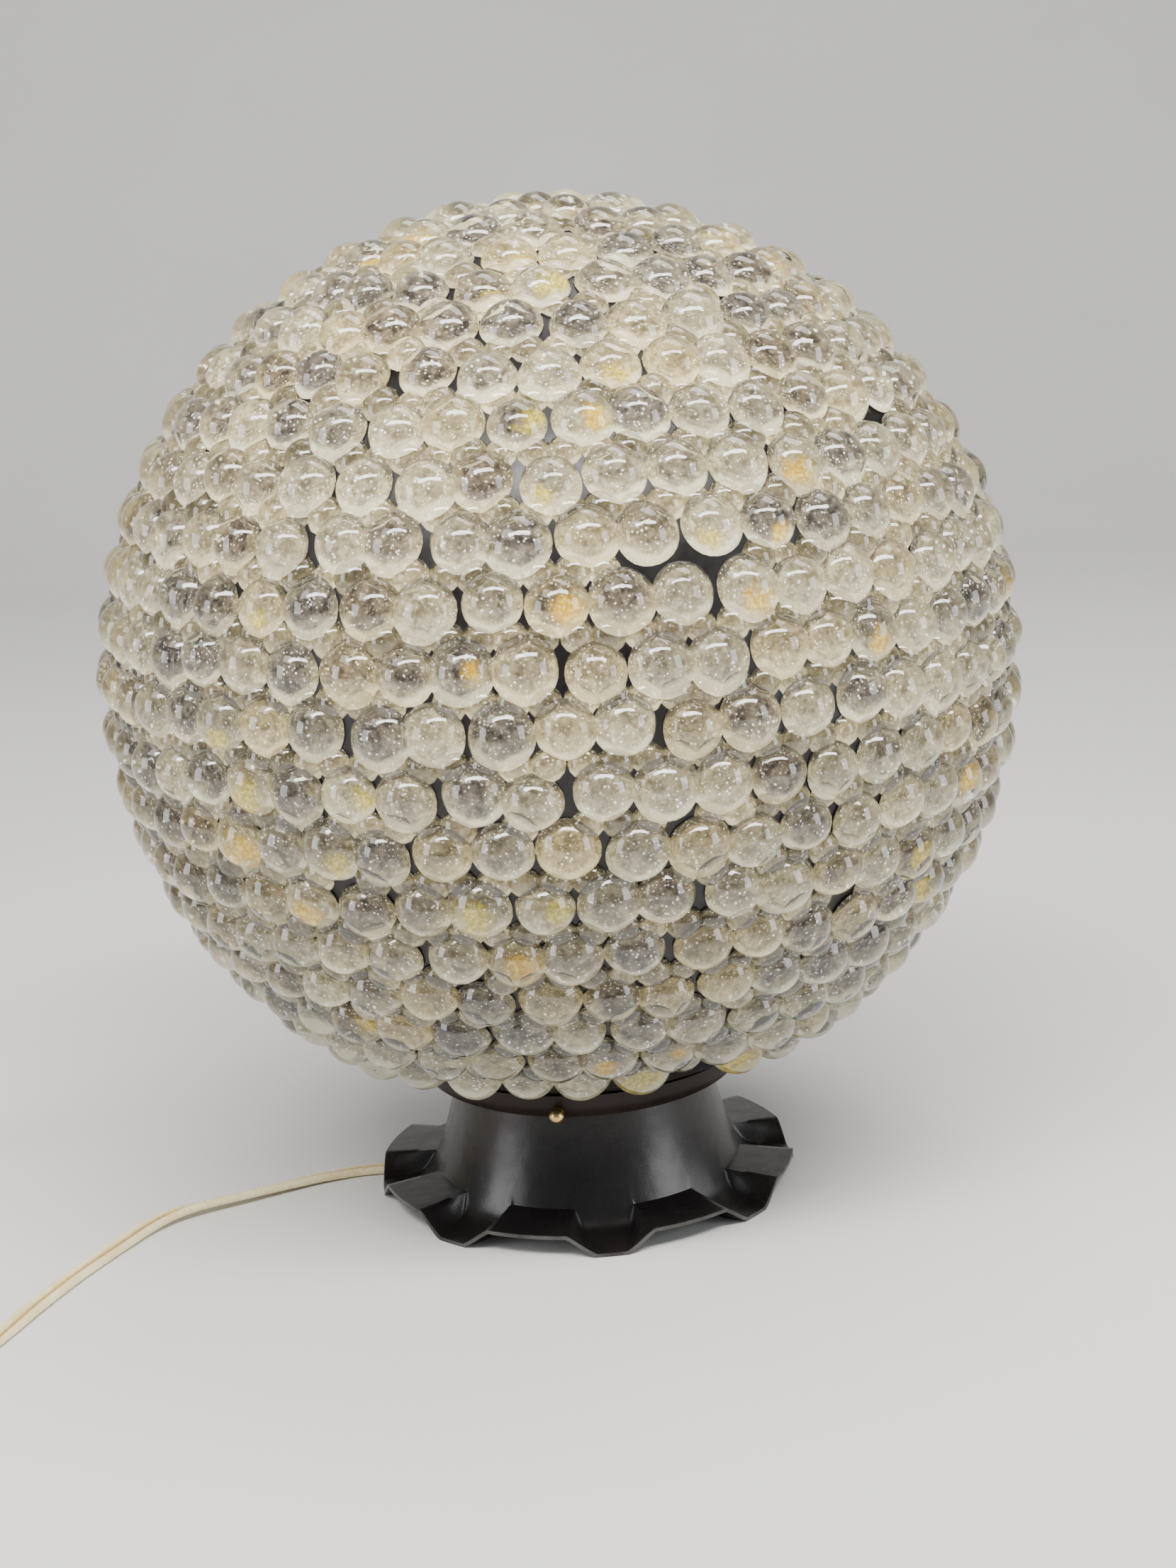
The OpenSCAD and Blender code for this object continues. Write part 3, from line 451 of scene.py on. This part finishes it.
def foot_points():
    """Outer face of the foot, row by row downwards, on stations that follow the creases of the flange."""
    turn = 360 / LOBES
    part = 8
    half = 3 * part

    def neck_r(z):
        t = (FOOT_H - FOOT_CORNER_R - z) / (FOOT_H - FOOT_CORNER_R - LOBE_ROOT_H)
        return NECK_TOP_R + (NECK_LOW_R - NECK_TOP_R) * (0.5 * t + 0.5 * t * t)

    def lobe_angle(u):
        root = math.degrees(math.asin(LOBE_ROOT_W / 2 / NECK_LOW_R))
        tip = math.degrees(math.asin(LOBE_TIP_W / 2 / FLANGE_R))
        return root + (tip - root) * u

    def wall_angle(u):
        root = math.degrees(WALL_ROOT_RUN / NECK_LOW_R)
        tip = math.degrees(WALL_TIP_RUN / FLANGE_R)
        return lobe_angle(u) + root + (tip - root) * u

    def station(m, u):
        """Angle from the middle of the lobe, and how far up the arch it is."""
        if m <= part:
            return lobe_angle(u) * m / part, 0.0
        if m <= 2 * part:
            t = (m - part) / part
            return lobe_angle(u) + (wall_angle(u) - lobe_angle(u)) * t, 0.75 * t + 0.25 * smooth(t)
        t = (m - 2 * part) / part
        return wall_angle(u) + (turn / 2 - wall_angle(u)) * t, 1.0

    rows = [("plate", r) for r in (TUBE_HOLE_R, 20.0, 36.0, NECK_TOP_R - FOOT_CORNER_R)]
    rows += [("corner", a) for a in (22.5, 45, 67.5)]
    rows += [("neck", v) for v in np.linspace(0, 1, 22) ** 0.9]
    flange = (0.04, 0.09, 0.16, 0.24, 0.33, 0.42, 0.51, 0.6, 0.7, 0.8, 0.9, 0.97, 1.0)
    rows += [("flange", u) for u in flange]
    points, lows = [], []
    for kind, t in rows:
        for lobe in range(LOBES):
            for n in range(2 * half):
                m = n if n <= half else 2 * half - n
                u = t if kind == "flange" else 0.0
                angle, lift = station(m, u)
                even = turn / 2 * m / half
                root = LOBE_ROOT_H + (ARCH_ROOT_H - LOBE_ROOT_H) * lift
                if kind == "plate":
                    r, z, spread = t, FOOT_H, 0.0
                elif kind == "corner":
                    a = math.radians(t)
                    r = NECK_TOP_R - FOOT_CORNER_R * (1 - math.sin(a))
                    z = FOOT_H - FOOT_CORNER_R * (1 - math.cos(a))
                    spread = 0.0
                elif kind == "neck":
                    z = FOOT_H - FOOT_CORNER_R + (root - FOOT_H + FOOT_CORNER_R) * t
                    r, spread = neck_r(z), t
                else:
                    start = neck_r(root)
                    low = SHEET + (LOBE_ROOT_H - SHEET) * max(0, 1 - u / FLAT_FROM) ** 2
                    high = ARCH_ROOT_H + (ARCH_H - ARCH_ROOT_H) * u
                    r, z, spread = start + (FLANGE_R - start) * u, low + (high - low) * lift, 1.0
                az = even + (angle - even) * spread
                if n > half:
                    az = turn - az
                az = math.radians(LOBE_AZ + lobe * turn + az)
                points.append((r * math.sin(az), -r * math.cos(az), z))
                lows.append(1 - lift)
    grid = np.array(points).reshape(len(rows), -1, 3)
    low = np.array(lows).reshape(len(rows), -1, 1)
    root = rows.index(("flange", flange[0]))
    a, b = root - FILLET_ABOVE, root + FILLET_BELOW
    for _ in range(FILLET_TURNS):
        between = (grid[a - 1:b - 1] + grid[a + 1:b + 1]) / 2
        grid[a:b] += 0.5 * low[a:b] * (between - grid[a:b])
    return grid


def add_foot():
    """The pressed sheet: its outer face, an inner face one sheet away, and the edges that join them."""
    grid = foot_points()
    rows, around = grid.shape[:2]
    across = np.roll(grid, -1, 1) - np.roll(grid, 1, 1)
    down = np.gradient(grid, axis=0)
    normal = np.cross(across, down)
    normal /= np.linalg.norm(normal, axis=2, keepdims=True)
    inner = grid + SHEET * normal
    inner[:, :, 2] = np.maximum(inner[:, :, 2], 0)
    points = np.concatenate([grid.reshape(-1, 3), inner.reshape(-1, 3)]) * MM
    total = around * rows
    faces = grid_faces(around, rows) + grid_faces(around, rows, total, True)
    for s in range(around):
        t = (s + 1) % around
        last = total - around
        faces.append((t, s, total + s, total + t))
        faces.append((last + s, last + t, total + last + t, total + last + s))
    foot = make_mesh("foot_pressed", points, faces, crease=50)
    rim = np.zeros((2, rows, around), np.float32)
    rim[:, -1] = 1
    foot.data.attributes.new("rim", "FLOAT", "POINT").data.foreach_set("value", rim.ravel())
    foot.data.materials.append(foot_material())
    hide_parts("foot")
    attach(foot, "base")


# Gems

def ball_cap(radius, height, around, shape):
    """A ball cut by its flat back: points, faces, which of them are the back, and the back's radius."""
    centre = height - radius
    widest = math.acos(max(-1.0, -centre / radius))
    points, faces = [(0.0, 0.0, height)], []
    rings = 10
    angles = np.linspace(0, 2 * math.pi, around, endpoint=False)
    for j in range(1, rings + 1):
        a = widest * j / rings
        swell = 1 + (shape - 1) * math.sin(a)
        for b, f in zip(angles, swell):
            out = radius * math.sin(a) * f
            points.append((out * math.cos(b), out * math.sin(b), centre + radius * math.cos(a)))
    base = radius * math.sin(widest)
    for share in (0.8, 0.55, 0.28):
        for b, f in zip(angles, shape):
            points.append((base * share * f * math.cos(b), base * share * f * math.sin(b), 0.0))
    points.append((0.0, 0.0, 0.0))
    rows = rings + 3
    faces += [(0, 1 + s, 1 + (s + 1) % around) for s in range(around)]
    faces += grid_faces(around, rows, 1, True)
    last = 1 + (rows - 1) * around
    faces += [(last + around, last + (s + 1) % around, last + s) for s in range(around)]
    back = [0] * (around * rings) + [1] * (len(faces) - around * rings)
    return np.array(points), faces, back, base


def gem_places():
    """Polar angle and azimuth of every gem, row by row, as in the solids."""
    step = GEM_COVER / (GEM_ROWS - 1 + FIRST_SHARE)
    plane_r = SHELL_R + GEM_GLUE + GEM_EDGE_R
    pitch = 2 * plane_r * math.sin(math.radians(step / 2))
    rows = []
    for i in range(GEM_ROWS):
        polar = math.radians((i + FIRST_SHARE) * step)
        half_angle = math.asin(min(1, pitch / 2 / (plane_r * math.sin(polar))))
        count = math.floor(180 / math.degrees(half_angle))
        rows.append((polar, [(k + (i % 2) / 2) * 2 * math.pi / count for k in range(count)]))
    return rows, pitch, math.radians(step)


def outward(polar, turn):
    """Unit vector from the middle of the globe, where turn 0 is the front and grows to the right."""
    polar, turn = np.broadcast_arrays(polar, turn)
    return np.stack([np.sin(polar) * np.sin(turn), -np.sin(polar) * np.cos(turn), np.cos(polar)], -1)


def gap_places(rows, i, step):
    """Widest gaps between row i and the next: polar angle, azimuth and distance to the nearest gem."""
    polar = rows[i][0] + step / 2
    turns = np.linspace(0, 2 * math.pi, 720, endpoint=False)
    near = np.concatenate([outward(rows[j][0], np.array(rows[j][1])) for j in (i, i + 1)])
    away = np.arccos(np.clip(outward(polar, turns) @ near.T, -1, 1)).min(1)
    tops = (away > np.roll(away, 1)) & (away >= np.roll(away, -1))
    return [(polar, turns[n], away[n] * GLOBE_D / 2) for n in np.flatnonzero(tops)]


def add_gems():
    """One piece per row: every gem a little different, at the solids' places, and chips in most gaps."""
    rows, pitch, step = gem_places()
    glass, lower = gem_glass(), gem_back()
    rng = np.random.default_rng(7)
    floor_r = SHELL_R + BACK_GAP
    facing = outward(math.radians(FRONT_POLAR), math.radians(FRONT_TURN))
    for i, (polar, turns) in enumerate(rows):
        points, faces, backs, tints, patches, forms, spots = [], [], [], [], [], [], []

        def add(
            radius, height, around, at_polar, at_turn, tint, core, patch=AMBER, spot=(0, 0, 0), lean=(0, 0)
        ):
            luck = rng.random(6)
            angles = np.linspace(0, 2 * math.pi, around, endpoint=False)
            shape = (
                1
                + 0.035 * luck[0] * np.cos(2 * (angles - 6.28 * luck[1]))
                + 0.022 * luck[2] * np.cos(3 * (angles - 6.28 * luck[3]))
                + 0.010 * luck[4] * np.cos(5 * (angles - 6.28 * luck[5]))
            )
            local, made, back, base = ball_cap(radius, height, around, shape)
            shares = local[:, :2] / base
            local[:, 2] += (lean[0] * local[:, 0] + lean[1] * local[:, 1]) * (local[:, 2] / height)
            place = np.array(
                Matrix.Translation((0, 0, GLOBE_Z))
                @ Matrix.Rotation(at_turn, 4, "Z")
                @ Matrix.Rotation(at_polar, 4, "X")
                @ Matrix.Translation((0, 0, floor_r))
            )
            start = len(points)
            points.extend((local @ place[:3, :3].T + place[:3, 3]) * MM)
            faces.extend(tuple(start + v for v in f) for f in made)
            backs.extend(back)
            for x, y in shares:
                tints.append((*tint, 1.0))
                patches.append((*patch, 1.0))
                forms.append((x, y, core))
                spots.append(spot)

        for k, turn in enumerate(turns):
            luck = rng.random(16)
            if i == MISSING_ROW and k == MISSING_GEM:
                continue
            tint = CLEAR * (0.86 + 0.14 * luck[0])
            tint = tint + (STRAW - tint) * max(0, luck[1] - 0.6) * 1.6
            patch, size = AMBER, 0.0
            if luck[2] < AMBER_CHANCE:
                size = 0.26 + 0.30 * luck[3]
            elif luck[2] < AMBER_CHANCE + LIME_CHANCE:
                patch, size = LIME, 0.28 + 0.32 * luck[3]
            bearing, away = math.radians(-55 + 70 * (2 * luck[4] - 1)), 0.25 + 0.25 * luck[5]
            add(
                radius=pitch / 2 * (0.98 + 0.17 * luck[6]),
                height=GLOBE_D / 2 - floor_r - 0.9 * luck[7],
                around=GEM_AROUND,
                at_polar=polar + (luck[8] - 0.5) * GEM_WANDER,
                at_turn=turn + (luck[9] - 0.5) * GEM_WANDER / max(math.sin(polar), 0.2),
                tint=tint,
                # core: size of the painted shade in the middle of the gem
                core=0.35 + 0.55 * luck[10],
                patch=patch,
                spot=(away * math.cos(bearing), away * math.sin(bearing), size),
                lean=(GEM_LEAN * (luck[11] - 0.5), GEM_LEAN * (luck[12] - 0.5)),
            )
        if i < GEM_ROWS - 1:
            for at_polar, at_turn, away in gap_places(rows, i, step):
                luck = rng.random(4)
                front = outward(at_polar, at_turn) @ facing
                if luck[0] > (FRONT_FILL if front > FRONT_REACH else OTHER_FILL):
                    continue
                room = away - pitch / 2 * 0.9
                if room > CHIP_ROOM:
                    add(
                        radius=room + CHIP_REACH,
                        height=min(CHIP_TOP, room + CHIP_RISE) * (0.7 + 0.3 * luck[1]),
                        around=CHIP_AROUND,
                        at_polar=at_polar,
                        at_turn=at_turn,
                        tint=CHIP * (0.5 + 0.5 * luck[2]),
                        core=0.36,
                    )
        row = make_mesh("gems_%02d" % (i + 1), points, faces)
        for name, values in (("tint", tints), ("patch", patches)):
            layer = row.data.color_attributes.new(name, "FLOAT_COLOR", "POINT")
            layer.data.foreach_set("color", np.array(values, np.float32).ravel())
        for name, values in (("form", forms), ("spot", spots)):
            layer = row.data.attributes.new(name, "FLOAT_VECTOR", "POINT")
            layer.data.foreach_set("vector", np.array(values, np.float32).ravel())
        row.data.materials.append(glass)
        row.data.materials.append(lower)
        row.data.polygons.foreach_set("material_index", np.array(backs, np.int32))
        row.data.set_sharp_from_angle(angle=math.radians(60))
        row.visible_shadow = False
        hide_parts("gem_row_%02d" % (i + 1))
        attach(row, "globe")


# Cord

# Points in millimetres with the twist in degrees, where 0 lies flat
CORD_ROUTE = [
    (0, 0, 24.8, 0), (-1.5, 0, 16.5, 0), (-6.5, 0, 8.5, 0), (-14.5, 0.5, 3.5, 0), (-24, 1.5, 2, 0),
    (-36, 3.5, 1.6, 0), (-48, 6, 1.6, 0), (-60, 8, 1.6, 0), (-71, 8.5, 1.6, 2), (-82, 7, 1.6, 0),
    (-94, 2.5, 1.8, -6), (-106, -4, 2.1, -14), (-119, -11.5, 2.5, -21), (-131, -18, 2.8, -18),
    (-140, -24, 2.8, 4), (-147, -32.5, 2.7, 28), (-153, -43, 2.4, 38), (-159, -54.5, 2.2, 34),
    (-164.5, -66, 2.1, 25), (-169.5, -78, 2.1, 25), (-174, -90, 2.3, 35), (-178, -102, 2.5, 50),
    (-182.5, -114, 2.7, 70), (-189.5, -125.5, 2.8, 85), (-199.5, -134, 2.8, 90), (-212, -137.5, 2.8, 90),
    (-224.5, -135, 3, 80), (-235, -127.5, 3.6, 55), (-241, -118, 4.8, 25), (CORD_X, -104, 6, 0),
]


def coil_route():
    """From the switch into two layers of turns on edge, and out to the plug."""
    z, layer, pitch, radius, y = 3.8, 6.0, 3.4, 36.0, -14.0
    middle = 3.25 * 360 + 90
    route = [(CORD_X, -56, 6, 0), (CORD_X, -50, 6, 0), (CORD_X, -42, 5.4, 25)]
    route += [(CORD_X, -34, 4.68, 55), (CORD_X, -26, 4, 85)]
    for turn in np.arange(0, 2 * middle + 1, 15):
        climb = min(max((turn - middle) / 180 + 0.5, 0), 1)
        r = radius - pitch * min(turn, 2 * middle - turn) / 360
        a = math.radians(turn)
        route.append((CORD_X - radius + r * math.cos(a), y + r * math.sin(a), z + layer * climb, 90))
    route += [(CORD_X, -6.2, 10.0, 88), (CORD_X, 1.6, 10.2, 50), (CORD_X, 6.8, 9.8, 0), (CORD_X, 12, 9.8, 0)]
    return route


def spline(route, steps):
    """Smooth curve through every point of a route."""
    p = np.array(route, float)
    ends = np.vstack([2 * p[0] - p[1], p, 2 * p[-1] - p[-2]])
    made = []
    for i in range(len(p) - 1):
        a, b, c, d = ends[i:i + 4]
        for t in np.linspace(0, 1, steps, endpoint=False):
            square, cube = 2 * a - 5 * b + 4 * c - d, 3 * b - a - 3 * c + d
            made.append(0.5 * (2 * b + (c - a) * t + square * t * t + cube * t ** 3))
    made.append(p[-1])
    return np.array(made)


def add_cord(name, route, steps, start, end, material):
    """Two round cores side by side, joined by a thin web, swept along the route."""
    path = spline(route, steps)
    core = CORD_T / 2
    reach = (CORD_W - CORD_T) / 2
    section, grooves = [], []
    for side in (1, -1):
        for a in np.radians(np.arange(-150, 151, 25)):
            x, y = reach + core * math.cos(a), core * math.sin(a)
            section.append((side * x, side * y))
            grooves.append(smooth((0.75 - abs(x)) / 0.6))
    points, groove = [], []
    for i, p in enumerate(path):
        if i == 0:
            way = np.array(start, float)
        elif i == len(path) - 1:
            way = np.array(end, float)
        else:
            way = path[i + 1][:3] - path[i - 1][:3]
        way = way / np.linalg.norm(way)
        flat = math.hypot(way[0], way[1])
        side = np.array([0, 1.0, 0]) if flat < 0.01 else np.array([way[1], -way[0], 0]) / flat
        up = np.cross(side, way)
        c, s = math.cos(math.radians(p[3])), math.sin(math.radians(p[3]))
        for (x, y), g in zip(section, grooves):
            points.append((p[:3] + x * (side * c + up * s) + y * (up * c - side * s)) * MM)
            groove.append(g)
    around = len(section)
    faces = grid_faces(around, len(path))
    faces.append(tuple(reversed(range(around))))
    faces.append(tuple(range(len(points) - around, len(points))))
    cord = make_mesh(name, points, faces, crease=60)
    layer = cord.data.attributes.new("groove", "FLOAT", "POINT")
    layer.data.foreach_set("value", np.array(groove, np.float32))
    cord.data.materials.append(material)
    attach(cord, "base")
    length = float(np.linalg.norm(np.diff(path[:, :3], axis=0), axis=1).sum()) * MM
    return cord, [list(p[:3] * MM) for p in path], length


def add_cords(vinyl):
    free, path, length = add_cord("cord_free", CORD_ROUTE, 6, (0, 0, -1), (0, 1, 0), vinyl)
    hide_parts("cord")
    switch = ("switch_base", "switch_cover", "switch_screws", "switch_contacts")
    switch += ("switch_rocker", "rocker_pin")
    coil, path, length = add_cord("cord_wound", coil_route(), 2, (0, 1, 0), (0, 1, 0), vinyl)
    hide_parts("cord_coil")


# Materials of the solids that stay

# Darker and lighter colour, least and most roughness, scale of mottling, metallic, depth of grain in m
FINISHES = {
    "brass_metal": ((0.55, 0.36, 0.13), (0.80, 0.60, 0.28), (0.16, 0.34), 220, 1.0, 0.00002),
    "steel_plated": ((0.42, 0.42, 0.43), (0.62, 0.62, 0.63), (0.22, 0.40), 260, 1.0, 0.00002),
    "bulb_cap_metal": ((0.55, 0.55, 0.56), (0.75, 0.75, 0.76), (0.24, 0.40), 300, 1.0, 0.00003),
    "nylon_cream": ((0.74, 0.70, 0.60), (0.84, 0.81, 0.72), (0.40, 0.55), 160, 0.0, 0.00003),
    "bakelite_black": ((0.012, 0.010, 0.009), (0.030, 0.024, 0.020), (0.16, 0.32), 130, 0.0, 0.00002),
    "porcelain_glaze": ((0.80, 0.78, 0.72), (0.88, 0.86, 0.81), (0.12, 0.24), 90, 0.0, 0.00003),
    "black_moulding": ((0.010, 0.010, 0.010), (0.024, 0.023, 0.022), (0.26, 0.42), 170, 0.0, 0.00005),
    "cream_moulding": ((0.72, 0.66, 0.50), (0.82, 0.76, 0.61), (0.28, 0.44), 120, 0.0, 0.00005),
}
FINISH_OF = {
    "brass_metal": (
        "gallery_screw_1", "gallery_screw_2", "gallery_screw_3", "threaded_tube", "lower_nut", "upper_nut",
        "holder_screw_shell", "holder_contact", "switch_contacts", "plug_blades",
    ),
    "steel_plated": ("tube_washer", "switch_screws", "rocker_pin"),
    "bulb_cap_metal": ("bulb_cap",),
    "nylon_cream": ("cord_bush",),
    "bakelite_black": ("holder_cap", "holder_shell"),
    "porcelain_glaze": ("holder_insulator",),
    "black_moulding": ("bulb_tip", "switch_rocker", "coil_tie"),
    "cream_moulding": ("switch_base", "switch_cover"),
}


def dress(material, *names):
    for name in names:
        obj = nodes[name]
        obj.data.materials.clear()
        obj.data.materials.append(material)


def dress_solids(vinyl):
    dress(gallery_material(), "gallery_bowl")
    dress(shell_material(), "glass_globe")
    dress(bulb_material(), "bulb_glass")
    dress(vinyl, "plug_body")
    for finish, names in FINISH_OF.items():
        dress(mottled(finish, *FINISHES[finish]), *names)


add_camera()
add_stage()
vinyl = cord_material()
add_cords(vinyl)
add_foot()
add_gems()
dress_solids(vinyl)

for light in LIGHTS:
    add_light(*light)
lacquered = bpy.data.collections.new("lacquered")
lacquered.objects.link(bpy.data.objects["foot_pressed"])
for panel in PANELS:
    add_light(*panel, only=lacquered)
add_room()
scene.cycles.transmission_bounces = 10
scene.cycles.max_bounces = 14
